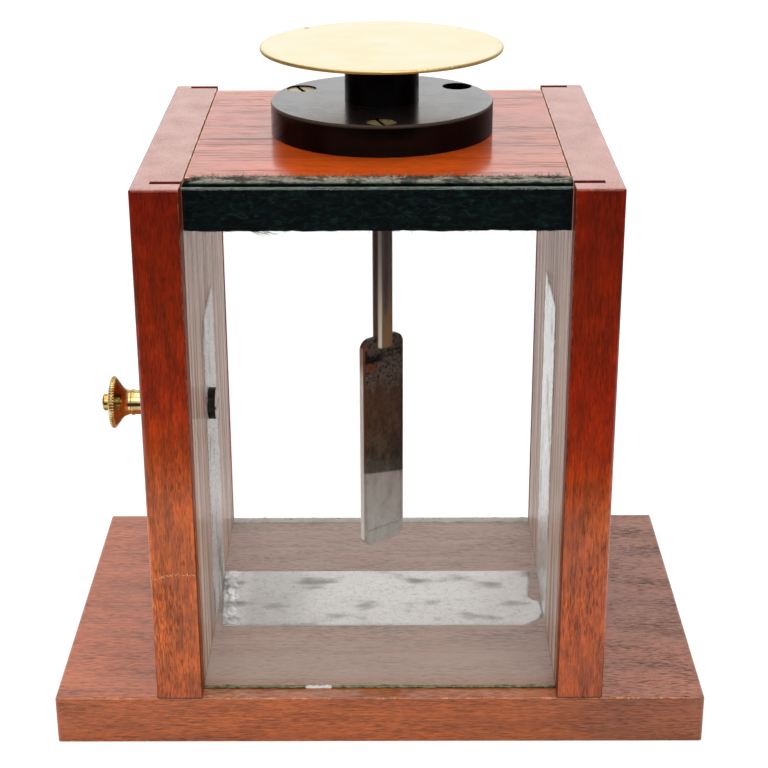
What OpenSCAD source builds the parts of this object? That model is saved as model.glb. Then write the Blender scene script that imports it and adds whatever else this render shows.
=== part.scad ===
// Leaf electroscope: a mahogany case on a base board, with two glass panes that slide up in
// saw kerfs, tin-foil strips joined to an earth terminal, and a brass cap on a rod that passes
// through an ebonite insulator and carries the fixed plate and the leaf.
// Millimetres. X is left to right, Y is front to back, Z is up. The origin is under the middle
// of the base board.

/* [Base board] */
// Width of the base board, left to right
base_w = 172; // [150:0.5:200]
// Depth of the base board and of the case, front to back
base_d = 109; // [95:0.5:130]
// Thickness of the base board
base_t = 13.5; // [10:0.5:20]

/* [Case] */
// Width of the case outside its two walls
case_w = 117.8; // [105:0.2:140]
// Thickness of a wall
wall_t = 12; // [10:0.5:16]
// Height of a wall above the base board
wall_h = 139.1; // [125:0.1:170]
// Thickness of the top board between the walls
top_t = 12; // [9.5:0.5:16]
// How far the top board lies below the tops of the walls
top_drop = 0.3; // [0:0.1:1.5]
// Open seam between the top board and each wall
seam = 0.3; // [0.1:0.05:0.6]

/* [Wood edges] */
// Radius of the upright corners of the base board and the walls
corner_r = 1.2; // [0.5:0.1:4]
// Radius of the softened long edges
arris_r = 0.8; // [0.3:0.1:1.8]

/* [Glass panes] */
// Thickness of a pane
glass_t = 2; // [1.5:0.1:3]
// How far a kerf runs into a wall
kerf_depth = 7.5; // [4:0.1:8]
// How much wider a kerf is than the glass
kerf_slack = 0.4; // [0.2:0.05:0.8]
// Depth of the groove in the base board under each pane
groove_depth = 2.5; // [1:0.1:4]
// Middle of the front kerf, behind the front of the case
front_kerf_in = 6.2; // [5:0.1:10]
// Middle of the rear kerf, in front of the back of the case
rear_kerf_in = 2.5; // [2.4:0.1:10]
// How far the panes end below the tops of the walls
glass_drop = 1.4; // [0:0.1:4]

/* [Felt] */
// Thickness of the front felt strip
front_felt_t = 4.5; // [2:0.1:6]
// Thickness of the rear felt strip
rear_felt_t = 1; // [0.8:0.1:6]
// Clearance between a felt strip and its pane
felt_gap = 0.2; // [0.1:0.05:0.5]

/* [Tin foil] */
// Width of the foil strips
foil_w = 32.5; // [20:0.5:45]
// Height of the strips on the walls
foil_h = 95; // [80:0.5:110]
// How much lower the left strip ends at its back edge, and twice as much at its front edge
left_foil_low = 2; // [0:0.5:5]
// Thickness of the foil, glue included
foil_t = 0.2; // [0.1:0.05:0.5]
// Depth of the torn corner at the right of the floor strip
foil_tear = 3.5; // [1:0.5:8]

/* [Insulator] */
// Diameter of the flange
flange_d = 58.5; // [50:0.1:70]
// Thickness of the flange
flange_t = 8.2; // [5:0.1:12]
// Diameter of the boss under the cap
boss_d = 19.5; // [12:0.1:26]
// Height of the boss above the flange
boss_h = 13.3; // [8:0.1:25]
// Diameter of the spigot that fills the hole in the top board
spigot_d = 16; // [12:0.2:22]
// How far the spigot stands out below the top board
spigot_below = 3; // [0:0.5:10]
// How far the insulator's axis lies behind the middle of the top board
head_shift = 0.4; // [-3:0.1:3]
// How far the insulator's axis lies right of the middle of the case
head_side = 0.95; // [-3:0.05:3]

/* [Insulator screws] */
// Middle of a screw, in from the rim of the flange
screw_inset = 4.5; // [4.5:0.1:8]
// Angles of the front, right and left screws round the flange
screw_angles = [270, 35, 151]; // [0:1:360]
// How deep the front, right and left heads lie below the flange
screw_sinks = [0.4, 2.4, 0.4]; // [0.2:0.1:2.6]
// Diameter of a screw head
screw_head_d = 7.8; // [6:0.1:7.8]
// Diameter of a screw's shank
screw_shank_d = 4; // [3:0.1:5]
// How far a screw that isn't sunk goes into the top board
screw_bite = 6.5; // [4:0.1:6.5]

/* [Cap and rod] */
// Diameter of the cap disc
cap_d = 63.5; // [50:0.5:80]
// Thickness of the cap disc
cap_t = 1; // [0.8:0.1:2]
// Diameter of the rod
rod_d = 5.5; // [4:0.1:7]
// Length of the rod below the cap
rod_len = 82.8; // [70:0.1:90]
// Diameter of the rod's riveted tip in the cap
rod_tip_d = 3; // [2:0.1:3.5]
// Angle that the plate stands at, turned from the front of the case
plate_turn = 38; // [0:1:90]

/* [Plate and leaf] */
// Width of the fixed plate
plate_w = 14.2; // [11:0.1:20]
// Height of the fixed plate
plate_h = 63.2; // [50:0.1:72]
// Thickness of the fixed plate
plate_t = 1.4; // [0.8:0.1:2]
// Corner radius of the fixed plate
plate_r = 3; // [1:0.1:5]
// How far the plate goes up into the slit in the rod
plate_lap = 3.2; // [2:0.1:6]
// How far the plate sits off the rod's axis, along its own width
plate_side = -0.5; // [-1.5:0.1:1.5]
// Bare margin of the plate at each side of the leaf
leaf_margin = 1; // [0.2:0.1:3]
// Length of the leaf below its fold
leaf_len = 53; // [35:0.5:55]
// Thickness of the leaf
leaf_t = 0.15; // [0.1:0.05:0.3]
// Air between the hanging leaf and the plate
leaf_gap = 0.15; // [0.1:0.05:0.4]
// Height of the glued head of the leaf, above its fold
leaf_head_h = 1.2; // [0.6:0.1:1.8]
// Fold of the leaf, below the top of the plate
leaf_down = 6; // [5.8:0.1:9]

/* [Terminal] */
// Height of the terminal above the base board
terminal_up = 65.5; // [50:0.5:80]
// Terminal's place, front to back
terminal_y = -8; // [-12:0.5:12]
// Diameter of the terminal's stud
stud_d = 4.7; // [3.5:0.1:5.5]
// How far the stud stands out of the nut
stud_out = 2; // [0.5:0.1:4]
// Diameter of the screw head inside the case
stud_head_d = 8.7; // [7:0.1:10]
// Height of the screw head inside the case
stud_head_h = 2.4; // [1.5:0.1:3]
// Diameter of the post between the wall and the washer
post_d = 6.8; // [6.5:0.1:9]
// Length of the post
post_len = 8.2; // [6:0.1:14]
// Diameter of the foot of the post, against the wall
post_foot_d = 11; // [9:0.1:14]
// Thickness of the clamp washer
washer_t = 0.6; // [0.4:0.1:1.2]
// Diameter of the nut's milled rim
nut_d = 14.4; // [12:0.1:20]
// Diameter of the nut's neck
nut_neck_d = 6.8; // [6.5:0.1:9]
// Length of the nut
nut_len = 6; // [5:0.1:9]
// Number of notches round the nut
nut_notches = 56; // [36:1:72]

/* [Hidden] */
$fn = 64;

// Colours, as they look on the object
mahogany = "#7d2f14";
pale_mahogany = "#9a4a24";
ebonite = "#1d1b1c";
brass = "#d9b45b";
nickel = "#8d8783";
dark_brass = "#4c3d31";
steel = "#9b9690";
tin = "#c4c2bd";
felt_green = "#1d3326";
glass_tint = [0.75, 0.85, 0.82, 0.35];

// How far cuts run past a face
over = 1;
// Clearances of the fits
fit = 0.05;
hole_fit = 0.1;

// Case
inner_w = case_w - 2 * wall_t;
wall_x = case_w / 2 - wall_t;
case_top = base_t + wall_h;
front_y = -base_d / 2;
rear_y = base_d / 2;
kerf_w = glass_t + kerf_slack;
front_glass_y = front_y + front_kerf_in;
rear_glass_y = rear_y - rear_kerf_in;
kerf_x = wall_x + kerf_depth;
pane_end_slack = 0.5;
pane_w = 2 * (kerf_x - pane_end_slack);
pane_h = wall_h - glass_drop + groove_depth;

// Top board
top_w = inner_w - 2 * seam;
top_front_y = front_glass_y + glass_t / 2 + felt_gap + front_felt_t;
top_rear_y = rear_glass_y - glass_t / 2 - felt_gap - rear_felt_t;
top_z = case_top - top_drop;
top_under = top_z - top_t;
felt_w = inner_w - 0.1;
rear_felt_rise = -1;
dowel_d = 6;
dowel_len = 17;
dowel_in_wall = wall_t * 2 / 3;
dowel_spread = 0.62;

// Screws that hold the walls, driven up through the base board
wall_screw_d = 3.6;
wall_screw_head_d = 7;
wall_screw_bite = 19;
wall_screw_sink = 0.8;
wall_screw_len = base_t - wall_screw_sink + wall_screw_bite;
wall_screw_spread = 0.68;

// Insulator and what hangs in it
head_y = (top_front_y + top_rear_y) / 2 + head_shift;
flange_top = top_z + flange_t;
boss_top = flange_top + boss_h;
boss_round = 1.2;
flange_round = 0.4;
screw_circle_r = flange_d / 2 - screw_inset;
screw_len = flange_t + screw_bite;
head_flat = 0.5;
slot_w = 1;
slot_depth = 0.9;
slot_turns = [108, 155, 110];
rod_end_z = boss_top - rod_len;
rod_chamfer = 0.5;
plate_top = rod_end_z + plate_lap;
plate_bottom = plate_top - plate_h;
fold_z = plate_top - leaf_down;
leaf_w = plate_w - 2 * leaf_margin;
leaf_face = plate_t / 2 + leaf_gap;

// Terminal, along X from the inside of the left wall outwards
terminal_z = base_t + terminal_up;
stud_seat = -inner_w / 2 + foil_t;
post_seat = -case_w / 2;
washer_seat = post_seat - post_len;
nut_seat = washer_seat - washer_t;
stud_end = nut_seat - nut_len - stud_out;
foil_y = 0.8;

// Rectangle with a corner at the origin, and one radius for each corner, anticlockwise
module round_rect(w, h, r) {
    difference() {
        square([w, h]);
        for (c = [[0, 0, 0], [1, 0, 1], [1, 1, 2], [0, 1, 3]]) {
            if (r[c[2]] > 0) {
                translate([c[0] * w, c[1] * h])
                    mirror([c[0], 0])
                        mirror([0, c[1]])
                            corner_waste(r[c[2]]);
            }
        }
    }
}

// What a corner of radius r loses
module corner_waste(r) {
    difference() {
        translate([-over, -over])
            square(r + over);
        translate([r, r])
            circle(r);
    }
}

// Board with a corner at the origin: the radii of its plan, its front view and its side view
module board(w, d, h, plan_r, front_r, side_r) {
    intersection() {
        linear_extrude(h)
            round_rect(w, d, plan_r);
        translate([0, d, 0])
            rotate([90, 0, 0])
                linear_extrude(d)
                    round_rect(w, h, front_r);
        rotate([90, 0, 90])
            linear_extrude(w)
                round_rect(d, h, side_r);
    }
}

// Slotted screw, its flat head at z = 0 and its point down
module wood_screw(head_d, shank_d, length, slot_turn) {
    cone = (head_d - shank_d) / 2;
    difference() {
        rotate_extrude()
            polygon([
                [0, 0], [head_d / 2, 0], [head_d / 2, -head_flat],
                [shank_d / 2, -head_flat - cone], [shank_d / 2, -length + shank_d],
                [0, -length]
            ]);
        rotate([0, 0, slot_turn])
            translate([-head_d, -slot_w / 2, -slot_depth])
                cube([2 * head_d, slot_w, over + slot_depth]);
    }
}

// Hole that such a screw fits in, open above z = 0
module screw_hole(head_d, shank_d, length, above) {
    cone = (head_d - shank_d) / 2;
    rotate_extrude()
        polygon([
            [0, above], [head_d / 2 + hole_fit, above], [head_d / 2 + hole_fit, -head_flat],
            [shank_d / 2 + hole_fit, -head_flat - cone - hole_fit],
            [shank_d / 2 + hole_fit, -length - hole_fit], [0, -length - hole_fit]
        ]);
}

module at_wall_screws() {
    for (x = [-1, 1]) {
        for (y = [-1, 1]) {
            translate([
                x * (case_w - wall_t) / 2, y * wall_screw_spread * base_d / 2, wall_screw_sink
            ])
                rotate([180, 0, 0])
                    children();
        }
    }
}

module at_dowels() {
    for (x = [-1, 1]) {
        for (y = [-1, 1]) {
            translate([
                x * (wall_x + dowel_in_wall - dowel_len / 2),
                (top_front_y + top_rear_y) / 2 + y * dowel_spread * (top_rear_y - top_front_y) / 2,
                top_under + top_t / 2
            ])
                rotate([0, 90, 0])
                    children();
        }
    }
}

// Each screw of the flange: its place, with its own sink and slot
module at_flange_screws() {
    for (i = [0 : len(screw_angles) - 1]) {
        translate([head_side, head_y, flange_top])
            rotate([0, 0, screw_angles[i]])
                translate([screw_circle_r, 0, -screw_sinks[i]])
                    rotate([0, 0, -screw_angles[i]]) {
                        $slot_turn = slot_turns[i];
                        $sink = screw_sinks[i];
                        children();
                    }
    }
}

module base_board() {
    color(mahogany)
        difference() {
            translate([-base_w / 2, front_y, 0])
                board(
                    base_w, base_d, base_t,
                    [corner_r, corner_r, corner_r, corner_r],
                    [arris_r / 2, arris_r / 2, arris_r, arris_r],
                    [arris_r / 2, arris_r / 2, arris_r, arris_r]
                );
            for (y = [front_glass_y, rear_glass_y]) {
                translate([-kerf_x, y - kerf_w / 2, base_t - groove_depth])
                    cube([2 * kerf_x, kerf_w, groove_depth + over]);
            }
            at_wall_screws()
                screw_hole(wall_screw_head_d, wall_screw_d, wall_screw_len, wall_screw_sink + over);
        }
}

// The right wall, with what both walls share
module plain_wall() {
    difference() {
        translate([wall_x, front_y, base_t])
            board(
                wall_t, base_d, wall_h,
                [0, corner_r, corner_r, 0],
                [0, 0, arris_r, 0],
                [0, 0, arris_r, arris_r]
            );
        for (y = [front_glass_y, rear_glass_y]) {
            translate([wall_x - over, y - kerf_w / 2, base_t - over])
                cube([kerf_depth + over, kerf_w, wall_h + 2 * over]);
        }
        at_wall_screws()
            screw_hole(wall_screw_head_d, wall_screw_d, wall_screw_len, over);
        at_dowels()
            cylinder(d = dowel_d + 2 * fit, h = dowel_len + 2 * fit, center = true);
    }
}

module right_wall() {
    color(mahogany)
        plain_wall();
}

module left_wall() {
    color(mahogany)
        difference() {
            mirror([1, 0, 0])
                plain_wall();
            translate([-case_w / 2 - over, terminal_y, terminal_z])
                rotate([0, 90, 0])
                    cylinder(d = stud_d + 2 * hole_fit, h = wall_t + 2 * over);
        }
}

module top_board() {
    color(pale_mahogany)
        difference() {
            translate([-top_w / 2, top_front_y, top_under])
                board(
                    top_w, top_rear_y - top_front_y, top_t,
                    [0, 0, 0, 0], [0, 0, 0, 0],
                    [0, 0, arris_r / 2, arris_r / 3]
                );
            translate([head_side, head_y, top_under - over])
                cylinder(d = spigot_d + 2 * hole_fit, h = top_t + 2 * over);
            at_dowels()
                cylinder(d = dowel_d + 2 * fit, h = dowel_len + 2 * fit, center = true);
            at_flange_screws()
                screw_hole(screw_head_d, screw_shank_d, screw_len, over);
        }
}

module top_dowels() {
    color("burlywood")
        at_dowels()
            cylinder(d = dowel_d, h = dowel_len, center = true);
}

module wall_screws() {
    color(steel)
        at_wall_screws()
            wood_screw(wall_screw_head_d, wall_screw_d, wall_screw_len, 0);
}

module pane(y) {
    translate([-pane_w / 2, y - glass_t / 2, base_t - groove_depth])
        board(
            pane_w, glass_t, pane_h, [0, 0, 0, 0], [0, 0, 0, 0],
            [0, 0, glass_t / 6, glass_t / 6]
        );
}

module front_glass() {
    color(glass_tint)
        pane(front_glass_y);
}

module rear_glass() {
    color(glass_tint)
        pane(rear_glass_y);
}

// Strip of felt glued to an edge of the top board. It hangs a little below the board, and rises
// above the board's top or ends below it.
module felt_strip(y, thick, rise) {
    translate([-felt_w / 2, y, top_under - top_drop])
        board(
            felt_w, thick, top_t + top_drop + rise, [0, 0, 0, 0], [0, 0, 0, 0],
            [thick / 4, thick / 4, thick / 4, thick / 4]
        );
}

module front_felt() {
    color(felt_green)
        felt_strip(top_front_y - front_felt_t, front_felt_t, top_drop);
}

module rear_felt() {
    color(felt_green)
        felt_strip(top_rear_y, rear_felt_t, rear_felt_rise);
}

// Floor strip: its left edge not quite along the wall, its front right corner round, and the
// rest of its right end torn off
module floor_foil() {
    half = inner_w / 2 - foil_t;
    back = foil_w / 2;
    color(tin)
        translate([0, foil_y, base_t])
            linear_extrude(foil_t)
                polygon([
                    [-half + 1.5, -back], [half - 5.8, -back], [half - 3.4, -back + 1.5],
                    [half - 1, -back + 4], [half, -back + 7.5], [half, -back + 11],
                    [half - 0.8, -back + 14], [half - foil_tear * 0.7, -back + 14.3],
                    [half - foil_tear, -back + 17], [half - foil_tear, -back + 19.5],
                    [half - foil_tear * 0.65, back], [-half, back], [-half, back - 6]
                ]);
}

// Strip of foil on the inside of a wall, from the floor up, with trimmed upper corners. The
// lows say how much is missing at the top of its back and its front edge.
module wall_foil(back_low, front_low) {
    rotate([90, 0, 90])
        linear_extrude(foil_t)
            polygon([
                [-foil_w / 2, 0], [foil_w / 2, 0], [foil_w / 2, foil_h - back_low - 2],
                [foil_w / 2 - 1, foil_h - back_low], [-foil_w / 2 + 1.5, foil_h - front_low],
                [-foil_w / 2, foil_h - front_low - 1]
            ]);
}

module left_foil() {
    color(tin)
        difference() {
            translate([-inner_w / 2, foil_y, base_t])
                wall_foil(left_foil_low, 2 * left_foil_low);
            translate([-inner_w / 2 - over, terminal_y, terminal_z])
                rotate([0, 90, 0])
                    cylinder(d = stud_d + 2 * hole_fit, h = 2 * over + foil_t);
        }
}

module right_foil() {
    color(tin)
        translate([inner_w / 2 - foil_t, foil_y, base_t])
            wall_foil(0, 0);
}

// Ebonite turning: flange, boss and spigot in one piece, bored for the rod
module insulator() {
    color(ebonite)
        difference() {
            translate([head_side, head_y, 0]) {
                translate([0, 0, top_z])
                    rotate_extrude()
                        round_rect(flange_d / 2, flange_t, [0, flange_round / 2, flange_round, 0]);
                translate([0, 0, top_z])
                    rotate_extrude()
                        round_rect(boss_d / 2, flange_t + boss_h, [0, 0, boss_round, 0]);
                translate([0, 0, top_under - spigot_below])
                    cylinder(d = spigot_d, h = top_t + spigot_below + flange_t / 2);
            }
            translate([head_side, head_y, top_under - spigot_below - over])
                cylinder(d = rod_d + 2 * fit, h = boss_top - top_under + spigot_below + 2 * over);
            at_flange_screws()
                screw_hole(screw_head_d, screw_shank_d, screw_len, $sink + over);
        }
}

module insulator_screws() {
    color(brass)
        at_flange_screws()
            wood_screw(screw_head_d, screw_shank_d, screw_len, $slot_turn);
}

// Cap disc, riveted on the tip of the rod, with a rounded rim
module cap_disc() {
    rim = cap_t * 0.45;
    color(brass)
        translate([head_side, head_y, boss_top])
            difference() {
                rotate_extrude()
                    round_rect(cap_d / 2, cap_t, [0, rim, rim, 0]);
                translate([0, 0, -over])
                    cylinder(d = rod_tip_d + 2 * fit, h = cap_t + 2 * over);
            }
}

// Rod from the cap down, slit at its lower end to hold the plate
module rod() {
    color(nickel)
        translate([head_side, head_y, 0])
            difference() {
                rotate_extrude()
                    polygon([
                        [0, rod_end_z], [rod_d / 2 - rod_chamfer, rod_end_z],
                        [rod_d / 2, rod_end_z + rod_chamfer], [rod_d / 2, boss_top],
                        [rod_tip_d / 2, boss_top], [rod_tip_d / 2, boss_top + cap_t],
                        [0, boss_top + cap_t]
                    ]);
                rotate([0, 0, plate_turn])
                    translate([-rod_d, -plate_t / 2, rod_end_z - over])
                        cube([2 * rod_d, plate_t, plate_lap + over]);
            }
}

// Things that stand on the plate's own axes: x along its width, y towards its back
module on_plate() {
    translate([head_side, head_y, 0])
        rotate([0, 0, plate_turn])
            translate([plate_side, 0, 0])
                children();
}

module leaf_plate() {
    color(dark_brass)
        on_plate()
            translate([-plate_w / 2, plate_t / 2, plate_bottom])
                rotate([90, 0, 0])
                    linear_extrude(plate_t)
                        round_rect(plate_w, plate_h, [plate_r, plate_r, plate_r, plate_r]);
}

// Head of the leaf, gummed to the plate
module leaf_head() {
    color(dark_brass)
        on_plate()
            translate([-leaf_w / 2, -leaf_face - leaf_t, fold_z + leaf_gap])
                cube([leaf_w, leaf_t + leaf_gap, leaf_head_h - leaf_gap]);
}

// Free part of the leaf, hanging in front of the plate, with its cut lower edge
module leaf() {
    color(nickel)
        on_plate()
            translate([-leaf_w / 2, -leaf_face, fold_z - leaf_len])
                rotate([90, 0, 0])
                    linear_extrude(leaf_t)
                        polygon([
                            [0, 0.8], [leaf_w * 0.2, 0], [leaf_w * 0.45, 0.9],
                            [leaf_w * 0.6, 0.2], [leaf_w * 0.8, 1.1], [leaf_w, 0.5],
                            [leaf_w, leaf_len], [0, leaf_len]
                        ]);
}

// Things on the terminal's axis: z points out of the left wall, from the middle of the case
module on_terminal() {
    translate([0, terminal_y, terminal_z])
        rotate([0, -90, 0])
            children();
}

// Cheese-head screw from inside the case, its stud right through to the outside
module terminal_screw() {
    color(brass)
        on_terminal()
            difference() {
                rotate_extrude()
                    polygon([
                        [0, -stud_seat - stud_head_h],
                        [stud_head_d / 2 - 0.3, -stud_seat - stud_head_h],
                        [stud_head_d / 2, -stud_seat - stud_head_h + 0.3],
                        [stud_head_d / 2, -stud_seat], [stud_d / 2, -stud_seat],
                        [stud_d / 2, -stud_end - 0.4], [stud_d / 2 - 0.4, -stud_end],
                        [0, -stud_end]
                    ]);
                translate([-slot_w / 2, -stud_head_d, -stud_seat - stud_head_h - over])
                    cube([slot_w, 2 * stud_head_d, stud_head_h * 0.5 + over]);
            }
}

module terminal_post() {
    foot_t = 1.2;
    color(brass)
        on_terminal()
            difference() {
                translate([0, 0, -post_seat]) {
                    cylinder(d = post_d, h = post_len);
                    cylinder(d = post_foot_d, h = foot_t);
                    translate([0, 0, foot_t])
                        cylinder(d1 = post_d + foot_t, d2 = post_d, h = foot_t / 2);
                }
                cylinder(d = stud_d + 2 * hole_fit, h = case_w);
            }
}

module terminal_washer() {
    color(brass)
        on_terminal()
            difference() {
                translate([0, 0, -washer_seat])
                    cylinder(d = post_d + 0.4, h = washer_t);
                cylinder(d = stud_d + 2 * fit, h = case_w);
            }
}

// Points along an arc, in degrees
function arc(middle, r, from, to, steps) = [
    for (i = [0 : steps])
        let (a = from + (to - from) * i / steps)
        middle + r * [cos(a), sin(a)]
];

// Half profile of the nut, from the washer outwards: neck, fillet, cone, crest and domed face
function nut_profile() =
    let (
        neck = nut_neck_d / 2, cone = 55, bevel = 0.2,
        fillet_r = 3, crest_r = 0.75, crest_end = 60, dome_r = 3,
        crest = [nut_d / 2 - crest_r, nut_len - 1.05],
        cone_out = crest + crest_r * [cos(cone), -sin(cone)],
        cone_in_r = neck + fillet_r * (1 - cos(cone)),
        fillet_z = cone_out[1] - (cone_out[0] - cone_in_r) / tan(cone) - fillet_r * sin(cone),
        dome = crest - (dome_r - crest_r) * [cos(crest_end), sin(crest_end)],
        dome_end = asin((nut_len - dome[1]) / dome_r)
    )
    concat(
        [[0, 0], [neck - bevel, 0], [neck, bevel]],
        arc([neck + fillet_r, max(fillet_z, bevel + 0.1)], fillet_r, 180, 180 - cone, 6),
        arc(crest, crest_r, -cone, crest_end, 6),
        arc(dome, dome_r, crest_end + 8, dome_end, 3),
        [[0, nut_len]]
    );

// Milled thumb nut: its notches run straight along the crest and out through the face
module terminal_nut() {
    notch_d = 0.5;
    color(brass)
        on_terminal()
            difference() {
                translate([0, 0, -nut_seat])
                    rotate_extrude()
                        polygon(nut_profile());
                cylinder(d = stud_d + 2 * fit, h = case_w);
                for (i = [0 : nut_notches - 1]) {
                    rotate([0, 0, i * 360 / nut_notches])
                        translate([nut_d / 2 - notch_d / 4, 0, -nut_seat + nut_len - 2])
                            cylinder(d = notch_d, h = 2 + over);
                }
            }
}

base_board();
left_wall();
right_wall();
top_board();
top_dowels();
wall_screws();
front_glass();
rear_glass();
front_felt();
rear_felt();
floor_foil();
left_foil();
right_foil();
insulator();
insulator_screws();
cap_disc();
rod();
leaf_plate();
leaf_head();
leaf();
terminal_screw();
terminal_post();
terminal_washer();
terminal_nut();
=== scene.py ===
import math

import bpy
import numpy as np
from mathutils import Matrix, Vector, noise


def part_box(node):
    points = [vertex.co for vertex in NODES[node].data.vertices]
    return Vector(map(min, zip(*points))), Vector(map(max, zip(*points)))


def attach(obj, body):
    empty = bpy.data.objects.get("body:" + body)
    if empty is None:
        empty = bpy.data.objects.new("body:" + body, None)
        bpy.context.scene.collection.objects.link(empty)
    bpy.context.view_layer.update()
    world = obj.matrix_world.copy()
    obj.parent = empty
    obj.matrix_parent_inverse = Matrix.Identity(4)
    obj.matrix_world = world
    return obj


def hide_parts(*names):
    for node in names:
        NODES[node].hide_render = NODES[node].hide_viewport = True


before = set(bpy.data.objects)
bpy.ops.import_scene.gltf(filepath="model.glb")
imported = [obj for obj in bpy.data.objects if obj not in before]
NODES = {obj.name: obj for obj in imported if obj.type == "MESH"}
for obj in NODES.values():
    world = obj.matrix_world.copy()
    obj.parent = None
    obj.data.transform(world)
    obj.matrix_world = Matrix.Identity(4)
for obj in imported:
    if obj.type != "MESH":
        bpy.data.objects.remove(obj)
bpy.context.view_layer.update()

MM = 0.001
RNG = np.random.default_rng(41)


# Places that the materials and pieces share, from the CAD nodes
BOARD_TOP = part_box("base_board")[1].z
CASE_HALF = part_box("right_wall")[0].x
PANE_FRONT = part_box("front_glass")[0].y
PANE_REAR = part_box("rear_glass")[0].y
FELT_LOW, FELT_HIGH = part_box("front_felt")
FOIL_LOW, FOIL_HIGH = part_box("floor_foil")
FLANGE_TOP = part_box("top_board")[1].z + 8.2 * MM
BOSS_RADIUS = 9.75 * MM
FACE_SINK = 0.4 * MM
LEAF_LOW, LEAF_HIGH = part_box("leaf")
LEAF_MARGIN = 1 * MM
PLATE_LOW, PLATE_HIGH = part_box("leaf_plate")
PLATE_CENTRE = (PLATE_LOW + PLATE_HIGH) / 2
PLATE_TURN = math.radians(38)
PLATE_ACROSS = Vector((math.cos(PLATE_TURN), math.sin(PLATE_TURN), 0))
PLATE_OUT = Vector((math.sin(PLATE_TURN), -math.cos(PLATE_TURN), 0))
PLATE_THICK = 1.4 * MM
PLATE_HALF = (PLATE_HIGH.x - PLATE_LOW.x - PLATE_THICK * math.sin(PLATE_TURN)) / 2 / math.cos(PLATE_TURN)
PLATE_EDGE = PLATE_CENTRE.dot(PLATE_ACROSS) - PLATE_HALF
STAIN_FOOT = 53.1 * MM
# Pale specks in an arc on the left wall, the mark on the cap and the painted highlight, a white glint, at
# the front pane's foot
RING_X, RING_Z, RING_RADIUS = -50.6 * MM, 32.2 * MM, 18.2 * MM
CAP_MARK_X, CAP_MARK_Y = -19.5 * MM, 26.2 * MM
GLINT_X = -16.3 * MM
# Size of the crazed cells in the foil
CRAZE_CELL = 2.381 * MM


# Camera, where the photograph was taken from: place in metres, turns in radians
CAMERA_PLACE = (0.00271, -0.46759, 0.27187)
CAMERA_YAW, CAMERA_PITCH, CAMERA_ROLL = -0.00308, 0.38774, -0.00354
CAMERA_LENS = 85.16
SENSOR = 36

forward = Vector((
    math.sin(CAMERA_YAW) * math.cos(CAMERA_PITCH),
    math.cos(CAMERA_YAW) * math.cos(CAMERA_PITCH),
    -math.sin(CAMERA_PITCH),
))
right = Vector((math.cos(CAMERA_YAW), -math.sin(CAMERA_YAW), 0))
up = right.cross(forward)
rolled_right = math.cos(CAMERA_ROLL) * right + math.sin(CAMERA_ROLL) * up
rolled_up = -math.sin(CAMERA_ROLL) * right + math.cos(CAMERA_ROLL) * up
camera = bpy.data.objects.new("camera", bpy.data.cameras.new("camera"))
camera.data.lens = CAMERA_LENS
camera.data.sensor_width = SENSOR
camera.data.clip_start = 0.01
camera.matrix_world = Matrix.Translation(CAMERA_PLACE) @ Matrix(
    (rolled_right, rolled_up, -forward)
).transposed().to_4x4()
bpy.context.scene.collection.objects.link(camera)
bpy.context.scene.camera = camera
bpy.context.scene.view_settings.view_transform = "Standard"


# Shader helpers
def rgb(code):
    """Linear colour of an sRGB hex value."""
    parts = [int(code[i:i + 2], 16) / 255 for i in (1, 3, 5)]
    return tuple(c / 12.92 if c <= 0.04045 else ((c + 0.055) / 1.055) ** 2.4 for c in parts) + (1,)


def add(tree, kind, links=None, out=0, stops=None, **settings):
    """Adds a shader node and gives one of its outputs. links says what goes into each input: a value,
    an sRGB hex colour or another node's output."""
    node = tree.nodes.new("ShaderNode" + kind)
    for name, value in settings.items():
        setattr(node, name, value)
    if stops:
        ramp = node.color_ramp
        while len(ramp.elements) < len(stops):
            ramp.elements.new(0.5)
        for element, (position, colour) in zip(ramp.elements, stops):
            element.position = position
            element.color = rgb(colour)
    for name, value in (links or {}).items():
        if isinstance(value, bpy.types.NodeSocket):
            tree.links.new(value, node.inputs[name])
        else:
            node.inputs[name].default_value = rgb(value) if isinstance(value, str) else value
    return node.outputs[out]


def new_material(name):
    """An empty material, its node tree and the place on the object in metres."""
    made = bpy.data.materials.new(name)
    made.use_nodes = True
    made.node_tree.nodes.clear()
    return made, made.node_tree, add(made.node_tree, "TexCoord", out="Object")


def finished(made, surface):
    """The material, with this shader as its surface."""
    tree = made.node_tree
    tree.links.new(surface, tree.nodes.new("ShaderNodeOutputMaterial").inputs["Surface"])
    return made


def axes(place):
    """The X, Y and Z of a place."""
    return add(place.id_data, "SeparateXYZ", {0: place}).node.outputs


def grained(place, sizes, shift=(0, 0, 0), **links):
    """Noise whose features have these sizes in millimetres along X, Y and Z."""
    scale = tuple(1000 / size for size in sizes)
    drawn = add(place.id_data, "Mapping", {"Vector": place, "Location": shift, "Scale": scale})
    return add(place.id_data, "TexNoise", {"Vector": drawn, "Scale": 1, **links})


def lathe_rings(radius, per_metre, **links):
    """Pattern of the fine rings that a tool leaves on a turned face."""
    run = add(radius.id_data, "Math", {0: radius, 1: per_metre}, operation="MULTIPLY")
    return add(radius.id_data, "TexNoise", {"W": run, "Scale": 1, **links}, noise_dimensions="1D")


def along(grain, across, length):
    """Feature sizes for a pattern drawn out along the grain's axis."""
    return tuple(length if axis == grain else across for axis in range(3))


def ramped(value, start, end, low=0.0, high=1.0):
    """A value that goes smoothly from low to high while the given one goes from start to end."""
    return add(value.id_data, "MapRange", {0: value, 1: start, 2: end, 3: low, 4: high},
               interpolation_type="SMOOTHSTEP")


def laid_over(mask, under, over):
    """Colour under, with colour over laid on it where the mask says."""
    return add(mask.id_data, "Mix", {0: mask, 6: under, 7: over}, out=2, data_type="RGBA")


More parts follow.
